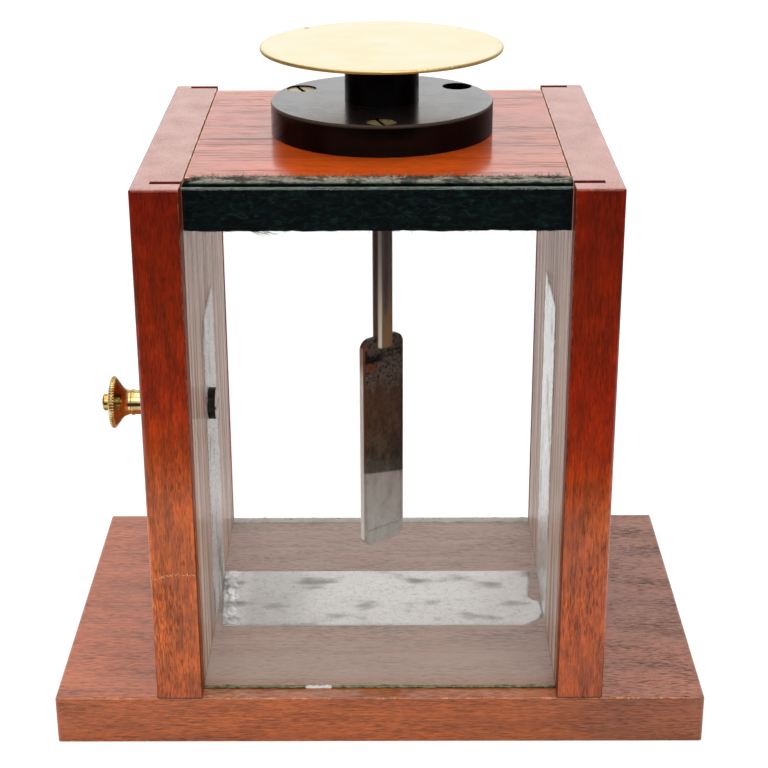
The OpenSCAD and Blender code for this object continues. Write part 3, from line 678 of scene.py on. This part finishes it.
def wool_lint():
    """Loose wool fibres pulled from the felt, greyed with dust on top and clean dark green below."""
    made, tree, place = new_material("wool_lint")
    mixed = grained(place, (1.2, 1.2, 1.2), Detail=1)
    tone = add(tree, "ValToRGB", {0: mixed}, stops=[(0.35, "#17302b"), (0.5, "#657068"), (0.66, "#bebdac")])
    tufted = laid_over(ramped(dust_patches(place), 0.47, 0.57, 0, 0.85), tone, "#0c2622")
    below = ramped(axes(place)["Z"], FELT_LOW.z, FELT_LOW.z + 2 * MM, 0.92, 0)
    return finished(made, add(tree, "BsdfPrincipled", {
        "Base Color": laid_over(below, tufted, "#0a2420"), "Roughness": 0.9,
    }))


def rubbed_tin_foil(name, light, dark, metal, rough, crazed):
    """Tin foil rubbed down by hand over glue: white metal crazed with fine creases, with a few soft grey
    marks, and duller beside the fold of the floor strip."""
    made, tree, place = new_material(name)
    creases = grained(place, (1.3, 1.3, 1.3), (5, 2, 8), Detail=7, Roughness=0.8, Distortion=0.8)
    cells = add(tree, "Mapping", {"Vector": place, "Scale": (1 / CRAZE_CELL,) * 3})
    crazing = add(tree, "TexVoronoi", {"Vector": cells, "Scale": 1}, feature="DISTANCE_TO_EDGE")
    marks = grained(place, (13, 7, 13), (7, 1, 2), Detail=2, Roughness=0.4)
    tone = add(tree, "ValToRGB", {0: creases}, stops=[(0.3, dark), (0.46, light), (0.7, "#ffffff")])
    veined = laid_over(ramped(crazing, 0.0, 0.07, crazed, 0), tone, dark)
    marked = laid_over(ramped(marks, 0.55, 0.75, 0, 0.75), veined, "#6d6a65")
    along_x = axes(place)["X"]
    dull_end = both(ramped(along_x, -41 * MM, -36 * MM), ramped(along_x, -30 * MM, -12 * MM, 0.36, 0))
    return finished(made, add(tree, "BsdfPrincipled", {
        "Base Color": laid_over(dull_end, marked, "#8e8c88"), "Metallic": metal, "Specular IOR Level": 0.5,
        "Roughness": ramped(marks, 0.3, 0.7, rough, rough + 0.14),
        "Normal": add(tree, "Bump", {"Height": creases, "Strength": 0.7, "Distance": 0.3 * MM}),
    }))


def groove_dust():
    """Dust and old varnish packed at the foot of a pane: dark where it meets the board, olive and beige
    above, with a white painted highlight for a glint in the front bead. At the rear pane the dust is laid
    near white, partly dust and partly a painted highlight for the glint along that pane's foot."""
    made, tree, place = new_material("groove_dust")
    spot = axes(place)
    crumbs = grained(place, (1.8, 0.5, 0.5), (2, 2, 2), Detail=5, Roughness=0.75)
    tone = add(tree, "ValToRGB", {0: crumbs}, stops=[(0.36, "#5e5a3c"), (0.5, "#8c8a68"), (0.66, "#c4c2a2")])
    level = shaken(spot["Z"], crumbs, 0.4 * MM)
    low_down = ramped(level, BOARD_TOP + 0.3 * MM, BOARD_TOP + 0.6 * MM, 0.9, 0)
    in_front = ramped(spot["Y"], 0, 10 * MM, 1, 0)
    dark = laid_over(both(low_down, in_front), tone, "#1c140c")
    # Partly dust, partly painted highlight: the bead at the rear pane is laid near white for the glint along
    # its foot
    dust_and_glint = laid_over(ramped(spot["Y"], 0, 10 * MM, 0, 0.95), dark, "#eceee6")
    # Painted highlight: a white mark in the front bead stands for a glint
    chip = both(ramped(off(spot["X"], GLINT_X), 3.2 * MM, 3.7 * MM, 1, 0), in_front)
    return finished(made, add(tree, "BsdfPrincipled", {
        "Base Color": laid_over(chip, dust_and_glint, "#ffffff"), "Roughness": 0.8,
    }))


MATERIALS = {
    "base_board": base_mahogany(),
    # Wall stain stops, foot to top: the light orange at the foot is painted light from the floor, the deep
    # red above is the stain
    "left_wall": wall_mahogany("left_wall", 2.3, [
        (0.0, "#c85a18"), (0.15, "#f2721c"), (0.38, "#ee6c14"), (0.5, "#d1520b"), (0.62, "#c63605"),
        (0.74, "#b43202"), (0.98, "#9c2000"),
    ]),
    "right_wall": wall_mahogany("right_wall", 3.1, [
        (0.0, "#c4550f"), (0.15, "#d85d0f"), (0.38, "#d45b0d"), (0.5, "#c43804"), (0.62, "#b82a02"),
        (0.74, "#b02c02"), (0.98, "#9e1e00"),
    ]),
    "top_board": top_mahogany(),
    "top_dowels": turned_beech(),
    "wall_screws": turned_metal("turned_steel", "#8d8a86", "#5d5852", 0.35),
    "insulator": polished_ebonite(),
    "insulator_screws": turned_metal(
        "turned_brass_screws", "#e6d6a4", "#bda468", 0.3, 3, FLANGE_TOP - FACE_SINK - 0.1 * MM, bare=0.45,
    ),
    "cap_disc": lacquered_brass_cap(),
    "rod": nickelled_rod(),
    "leaf_plate": filed_brass_plate(),
    "leaf_head": gummed_leaf("gummed_leaf_head"),
    "terminal_screw": terminal_stud_brass(),
    "terminal_nut": terminal_brass(),
}
for shared in ("terminal_post", "terminal_washer"):
    MATERIALS[shared] = MATERIALS["terminal_nut"]
MATERIALS["front_glass"] = MATERIALS["rear_glass"] = drawn_glass()
for node, made in MATERIALS.items():
    NODES[node].data.materials.clear()
    NODES[node].data.materials.append(made)


# Mesh helpers
def mesh_piece(name, points, faces, material, body):
    """A smooth piece made in place, riding on a body."""
    mesh = bpy.data.meshes.new(name)
    mesh.from_pydata([tuple(p) for p in points], [], faces)
    mesh.materials.append(material)
    mesh.polygons.foreach_set("use_smooth", [True] * len(mesh.polygons))
    mesh.update()
    piece = bpy.data.objects.new(name, mesh)
    bpy.context.scene.collection.objects.link(piece)
    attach(piece, body)
    return piece


def closed_sheet(name, columns, rows, points_at, material, body):
    """Thin solid between two sheets of points. points_at gives the outer point and the one behind it at
    (u, v), the shares of the way along the columns and the rows."""
    pairs = [points_at(c / (columns - 1), r / (rows - 1)) for r in range(rows) for c in range(columns)]
    count = columns * rows
    faces = [
        (r * columns + c, r * columns + c + 1, (r + 1) * columns + c + 1, (r + 1) * columns + c)
        for r in range(rows - 1) for c in range(columns - 1)
    ]
    back = [tuple(count + i for i in reversed(face)) for face in faces]
    rim = (
        list(range(columns))
        + [r * columns + columns - 1 for r in range(1, rows)]
        + [(rows - 1) * columns + c for c in range(columns - 2, -1, -1)]
        + [r * columns for r in range(rows - 2, 0, -1)]
    )
    sides = [(after, here, count + here, count + after) for here, after in zip(rim, rim[1:] + rim[:1])]
    points = [outer for outer, _ in pairs] + [inner for _, inner in pairs]
    return mesh_piece(name, points, faces + back + sides, material, body)


def tube_faces(start, rings, around):
    """Faces of a tube with closed ends, whose points run ring by ring from the start."""
    faces = []
    for ring in range(rings - 1):
        for a in range(around):
            here = start + ring * around + a
            beside = start + ring * around + (a + 1) % around
            faces.append((here, beside, beside + around, here + around))
    faces.append(tuple(start + a for a in range(around))[::-1])
    faces.append(tuple(start + (rings - 1) * around + a for a in range(around)))
    return faces


# Felt strips. A squareness of 1 would make their section an ellipse, and 0 a rectangle
FELT_COLUMNS, FELT_AROUND, FELT_SQUARENESS = 320, 32, 0.3


def felt_strip(name, node, material, seed, dip=0.0):
    """Strip of felt with round, ragged long edges. Its top may dip at the left end."""
    low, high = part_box(node)
    half_y, half_z = (high.y - low.y) / 2 - 0.05 * MM, (high.z - low.z) / 2
    middle_y, middle_z = (high.y + low.y) / 2, (high.z + low.z) / 2
    points = []
    for c in range(FELT_COLUMNS):
        x = low.x + (high.x - low.x) * c / (FELT_COLUMNS - 1)
        droop = dip * max(0, 1 - (x - low.x) / (6 * MM)) ** 1.5
        sag = noise.noise(Vector((x * 90 + seed, 3, 1))) + 0.6 * noise.noise(Vector((x * 420 + seed, 3, 7)))
        for a in range(FELT_AROUND):
            turn = 2 * math.pi * a / FELT_AROUND
            side, rise = math.cos(turn), math.sin(turn)
            y = math.copysign(abs(side) ** FELT_SQUARENESS, side) * half_y
            z = math.copysign(abs(rise) ** FELT_SQUARENESS, rise) * half_z
            rough = noise.noise(Vector((x * 700 + seed, y * 700, z * 500)))
            y += min(0.1 * rough * MM * abs(side), 0)
            z += 0.28 * MM * sag * max(0, -rise) - droop * max(0, rise) + 0.15 * MM * rough * abs(rise)
            points.append((x, middle_y + y, middle_z + z))
    piece = mesh_piece(name, points, tube_faces(0, FELT_COLUMNS, FELT_AROUND), material, "case")
    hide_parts(node)


FIBRE_THICK, FIBRE_REACH = 0.045 * MM, 1.4 * MM
FIBRE_SIDES, FIBRE_STEPS = 3, 4


def fibre(root, heading, length, front):
    """Points of a thin bent tube that stays behind the front, ring by ring."""
    here = Vector(root)
    heading = Vector(heading).normalized()
    curl = Vector(RNG.normal(0, 0.45, 3))
    points = []
    for s in range(FIBRE_STEPS + 1):
        side = heading.orthogonal().normalized()
        other = heading.cross(side)
        radius = FIBRE_THICK * (1 - 0.6 * s / FIBRE_STEPS)
        for k in range(FIBRE_SIDES):
            turn = 2 * math.pi * k / FIBRE_SIDES
            points.append(here + radius * (math.cos(turn) * side + math.sin(turn) * other))
        here = here + heading * (length / FIBRE_STEPS)
        if here.y < front:
            here.y = front
            heading.y = abs(heading.y)
        heading = (heading + curl * (0.5 + 0.5 * RNG.random()) / FIBRE_STEPS).normalized()
    return points


def felt_lint():
    """Loose wool fibres behind the front pane: many lie on the felt strip, some hang under it, and a few
    longer ones stick out to the right below its left part."""
    low, high = FELT_LOW, FELT_HIGH
    roots = []
    for _ in range(3000):
        x = RNG.uniform(low.x + 2 * MM, high.x - 1 * MM)
        y = low.y + (high.y - low.y) * RNG.uniform(0.1, 1) ** 0.7
        heading = (RNG.normal(0, 1.2), RNG.normal(0.1, 0.7), 0.35)
        roots.append(((x, y, high.z - 0.3 * MM), heading, RNG.uniform(0.5, 1.5)))
    for _ in range(420):
        x = RNG.uniform(low.x + 1 * MM, high.x - 1 * MM)
        y = RNG.uniform(low.y + 0.3 * MM, high.y)
        heading = (RNG.normal(0, 1.2), RNG.normal(0, 0.4), -0.4)
        roots.append(((x, y, low.z + 0.15 * MM), heading, RNG.uniform(0.3, 0.9)))
    for _ in range(14):
        x = low.x + RNG.uniform(16, 21) * MM
        heading = (1, RNG.normal(0, 0.1), RNG.uniform(-0.5, -0.2))
        roots.append(((x, low.y + 0.5 * MM, low.z + 0.1 * MM), heading, RNG.uniform(1.5, 3)))
    points, faces = [], []
    for root, heading, factor in roots:
        faces += tube_faces(len(points), FIBRE_STEPS + 1, FIBRE_SIDES)
        points += fibre(root, heading, FIBRE_REACH * factor, low.y + 0.1 * MM)
    piece = mesh_piece("front_felt_lint", points, faces, wool_lint(), "case")


felt = pressed_felt()
felt_strip("front_felt_strip", "front_felt", felt, 3.0, 1.2 * MM)
felt_strip("rear_felt_strip", "rear_felt", felt, 9.0)
felt_lint()


# Tin foil
def crumple(u, v, seed, amount):
    """Height of the creases in rubbed foil, at shares of its width and its depth."""
    ridge = 1 - abs(noise.noise(Vector((u * 26, v * 26, seed)))) * 2.2
    fine = noise.noise(Vector((u * 90, v * 90, seed + 5)))
    return amount * (0.55 + 0.3 * ridge + 0.25 * fine)


def ragged(v, seed, by):
    """How far a hand-torn edge wanders to either side, at a share of its length."""
    return by * (noise.noise(Vector((v * 9, seed, 0))) + 0.6 * noise.noise(Vector((v * 31, seed, 4))))


def foil_sheet(name, node, outline, place_at, material, seed, amount, columns, rows):
    """Foil rubbed onto a board. outline gives a row's two ends as shares of the width, place_at turns
    (u, v, height) into a point."""
    def points_at(share, v):
        start, end = outline(v)
        u = start + (end - start) * share
        at_edge = share in (0, 1) or v in (0, 1)
        lift = crumple(u, v, seed, amount) * (0.35 if at_edge else 1)
        return place_at(u, v, lift), place_at(u, v, 0.02 * MM)

    piece = closed_sheet(name, columns, rows, points_at, material, "case")
    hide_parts(node)


FLOOR_WIDE = FOIL_HIGH.x - FOIL_LOW.x
FLOOR_DEEP = FOIL_HIGH.y - FOIL_LOW.y
# Right edge of the floor strip, front to back: distance from the wall in millimetres at shares of its depth
TORN_EDGE = ((0.0, 5.8), (0.05, 3.4), (0.12, 1.0), (0.23, 0.0), (0.34, 0.0), (0.43, 0.8), (0.445, 2.4),
             (0.52, 3.5), (0.6, 3.5), (0.8, 2.4), (1.0, 2.2))


def slanting_end(v, gap, tear):
    """How far the floor strip's left end is from the wall, which is farthest at the front."""
    return (1.7 * max(0, 1 - v * 1.2) + gap + ragged(v, 1, tear)) * MM


def floor_outline(v):
    """Left and right end of the floor strip at a share of its depth."""
    inset = np.interp(v, [share for share, _ in TORN_EDGE], [away for _, away in TORN_EDGE])
    torn = max(0.1, inset + ragged(v, 2, 0.5)) * MM
    return slanting_end(v, 0.15, 0.25) / FLOOR_WIDE, 1 - torn / FLOOR_WIDE


def floor_point(u, v, lift):
    return (FOIL_LOW.x + u * FLOOR_WIDE, FOIL_LOW.y + v * FLOOR_DEEP, FOIL_LOW.z + lift)


def foil_fold(material):
    """Doubled, crumpled end of the floor strip, along its left edge."""
    def points_at(u, v):
        width = (4.0 + ragged(v, 7, 1.4)) * MM
        x = FOIL_LOW.x + slanting_end(v, 0.1, 0.3) + u * width
        y = FOIL_LOW.y + (0.01 + 0.98 * v) * FLOOR_DEEP
        lift = (0.25 + 0.34 * noise.noise(Vector((x * 1000, y * 650, 3))) + 0.3 * math.sin(math.pi * u)) * MM
        return (x, y, FOIL_LOW.z + max(0.12 * MM, lift)), (x, y, FOIL_LOW.z + 0.06 * MM)

    piece = closed_sheet("floor_foil_fold", 14, 70, points_at, material, "case")


def wall_foil_sheet(name, node, inwards, seed, material, front_low, lean):
    """Foil up a wall. front_low says how much lower its top ends at the front, lean how far its top leans to
    the front, as shares of its height and its width."""
    low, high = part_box(node)

    def outline(v):
        end = 0.98 + ragged(v, seed + 3, 0.03) - lean * v
        return 0.02 + ragged(v, seed, 0.03) + 0.25 * max(0, v - 0.97), end

    def point(u, v, lift):
        x = (low.x if inwards > 0 else high.x) + inwards * lift
        fall = front_low * (1 - u) * v
        return (x, low.y + u * (high.y - low.y), low.z + (v - fall) * (high.z - low.z))

    foil_sheet(name, node, outline, point, material, seed, 0.34 * MM, 40, 130)


foil = rubbed_tin_foil("rubbed_tin_foil", "#fdfdfa", "#aeaca9", 0.55, 0.34, 0.22)
wall_foil = rubbed_tin_foil("rubbed_tin_foil_wall", "#f2f0ee", "#83807d", 0.65, 0.36, 0.5)
# Painted light: the right wall's foil and the fold take a lighter, shinier copy of the foil than the left
# wall's, for the light falling on them
bright_foil = rubbed_tin_foil("rubbed_tin_foil_bright", "#ffffff", "#cfcdcb", 0.85, 0.2, 0.35)
foil_sheet("floor_foil_sheet", "floor_foil", floor_outline, floor_point, foil, 2.0, 0.32 * MM, 130, 60)
foil_fold(bright_foil)
wall_foil_sheet("left_foil_sheet", "left_foil", 1, 6.0, wall_foil, 0.02, 0.12)
wall_foil_sheet("right_foil_sheet", "right_foil", -1, 8.0, bright_foil, 0.0, 0.0)


# Leaf, edges of the panes and dust at their feet
def leaf_blade():
    """Wavy beaten leaf with a torn lower end."""
    middle = (LEAF_LOW + LEAF_HIGH) / 2
    width = 2 * (PLATE_HALF - LEAF_MARGIN)

    def points_at(share, v):
        u = share - 0.5
        torn = (0.9 * noise.noise(Vector((u * 9, 1, 2))) + 0.5 * noise.noise(Vector((u * 27, 5, 2)))) * MM
        wave = 0.05 * MM * noise.noise(Vector((u * 3, v * 6, 7))) * min(1, v * 8)
        spot = middle + PLATE_ACROSS * (u * width) + PLATE_OUT * wave
        spot.z = LEAF_HIGH.z - v * (LEAF_HIGH.z - LEAF_LOW.z - 0.6 * MM) + torn * v ** 12
        return spot + PLATE_OUT * 0.06 * MM, spot - PLATE_OUT * 0.06 * MM

    piece = closed_sheet("leaf_blade", 30, 90, points_at, gummed_leaf("gummed_beaten_leaf"), "moving_leaf")
    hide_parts("leaf")


def pane_edge(name, node, body, material):
    """Ground edge on top of a pane, with small chips."""
    low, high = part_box(node)

    def points_at(u, v):
        x = low.x + 0.2 * MM + (high.x - low.x - 0.4 * MM) * u
        y = low.y + 0.35 * MM + (high.y - low.y - 0.7 * MM) * v
        chip = 0.04 * MM * noise.noise(Vector((x * 700, y * 700, 1)))
        return (x, y, high.z + 0.1 * MM + chip), (x, y, high.z + 0.01 * MM)

    piece = closed_sheet(name, 160, 4, points_at, material, body)


def foot_dust(name, y, height, depth, seed, material):
    """Uneven bead of dust and old varnish against the foot of a pane, from wall to wall."""
    rows = 5
    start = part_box("left_wall")[1].x + 0.1 * MM
    length = CASE_HALF - 0.1 * MM - start

    def points_at(u, share):
        x = start + length * u
        row = share * (rows - 1)
        coarse = noise.noise(Vector((x * 260, seed, row)))
        fine = noise.noise(Vector((x * 1100, seed, row)))
        reach = max(0.08, 0.75 + 0.5 * coarse + 0.35 * fine)
        out = depth * (1 - share) * reach
        rise = height * share * reach
        outer = (x, y - out - 0.02 * MM, BOARD_TOP + 0.02 * MM + rise)
        return outer, (x, y - 0.01 * MM, BOARD_TOP + 0.01 * MM + rise * 0.9)

    piece = closed_sheet(name, 260, rows, points_at, material, "case")


leaf_blade()
edge_glass = ground_glass_edge()
pane_edge("front_glass_edge", "front_glass", "front_pane", edge_glass)
pane_edge("rear_glass_edge", "rear_glass", "rear_pane", edge_glass)
dust = groove_dust()
foot_dust("front_foot_dust", PANE_FRONT, 1.0 * MM, 0.5 * MM, 4.0, dust)
foot_dust("rear_foot_dust", PANE_REAR, 1.2 * MM, 1.6 * MM, 9.0, dust)


# Stage: white sweep of paper that ends in front of the object and at its sides, in a dark room
SWEEP_FRONT, SWEEP_FADE, SWEEP_SLANT = -0.235, 0.065, 0.18
SWEEP_HALF, SWEEP_SIDE_FADE = 0.3, 0.12
FLOOR_HALF = 4.0
PAPER, DARK_FLOOR, PAPER_SHADOW, PAPER_GLOW = 0.86, 0.03, 0.42, 0.75
WHITE = "#ffffff"


def straight_view(tree):
    """1 for what the camera sees straight or through glass, and 0 for what is mirrored or gives light."""
    path = add(tree, "LightPath").node.outputs
    unmirrored = add(tree, "Math", {0: path["Glossy Depth"], 1: 0.5}, operation="LESS_THAN")
    return either(path["Is Camera Ray"], both(path["Is Transmission Ray"], unmirrored))


def paper_floor():
    """The paper on a dark floor. Seen straight it glows white round a soft shadow, and what it lights or is
    mirrored in gets plain paper that fades into the dark floor."""
    mesh = bpy.data.meshes.new("floor")
    corners = [(-FLOOR_HALF, -FLOOR_HALF, 0), (FLOOR_HALF, -FLOOR_HALF, 0),
               (FLOOR_HALF, FLOOR_HALF, 0), (-FLOOR_HALF, FLOOR_HALF, 0)]
    mesh.from_pydata(corners, [], [(0, 1, 2, 3)])
    floor = bpy.data.objects.new("floor", mesh)
    bpy.context.scene.collection.objects.link(floor)
    made, tree, place = new_material("white_paper_sweep")
    spot = axes(place)
    near = ramped(shaken(spot["Y"], spot["X"], -SWEEP_SLANT), SWEEP_FRONT, SWEEP_FRONT + SWEEP_FADE)
    within = ramped(off(spot["X"], 0), SWEEP_HALF, SWEEP_HALF + SWEEP_SIDE_FADE, 1, 0)
    paper = between(both(near, within), DARK_FLOOR, PAPER)
    shade = add(tree, "BsdfDiffuse", {"Color": paper})
    shadow_catch = add(tree, "BsdfDiffuse", {"Color": (PAPER_SHADOW,) * 3 + (1,)})
    glow = add(tree, "Emission", {"Color": WHITE, "Strength": PAPER_GLOW})
    bright = add(tree, "AddShader", {0: shadow_catch, 1: glow})
    surface = add(tree, "MixShader", {0: straight_view(tree), 1: shade, 2: bright})
    mesh.materials.append(finished(made, surface))


def studio_light():
    """Bright behind the object and high in front of it, dark at the sides, and white where seen straight."""
    world = bpy.data.worlds.new("studio")
    bpy.context.scene.world = world
    world.use_nodes = True
    tree = world.node_tree
    tree.nodes.clear()
    heading = axes(add(tree, "TexCoord", out="Generated"))
    above_front = both(ramped(heading["Z"], 0.12, 0.4), ramped(heading["Y"], -0.6, -0.4, 0.85, 0))
    room = either(ramped(heading["Y"], 0.45, 0.8, 0.03, 1.0), above_front)
    scattered = ramped(heading["Y"], -0.6, 0.6, 0.38, 1.0)
    lit = between(add(tree, "LightPath", out="Is Diffuse Ray"), room, scattered)
    level = between(straight_view(tree), lit, 1.0)
    background = add(tree, "Background", {"Color": WHITE, "Strength": level})
    tree.links.new(background, tree.nodes.new("ShaderNodeOutputWorld").inputs["Surface"])


def softbox(name, place, target, size, watts):
    light = bpy.data.objects.new(name, bpy.data.lights.new(name, "AREA"))
    light.data.shape = "RECTANGLE"
    light.data.size, light.data.size_y = size
    light.data.energy = watts
    light.location = place
    light.rotation_mode = "QUATERNION"
    light.rotation_quaternion = (Vector(target) - Vector(place)).to_track_quat("-Z", "Y")
    bpy.context.scene.collection.objects.link(light)


paper_floor()
studio_light()
softbox("overhead_softbox", (0.0, 0.05, 1.1), (0, 0, 0), (1.2, 1.0), 6.5)
softbox("front_softbox", (0.1, -0.75, 0.95), (0, -0.1, 0.03), (0.9, 0.6), 2.5)
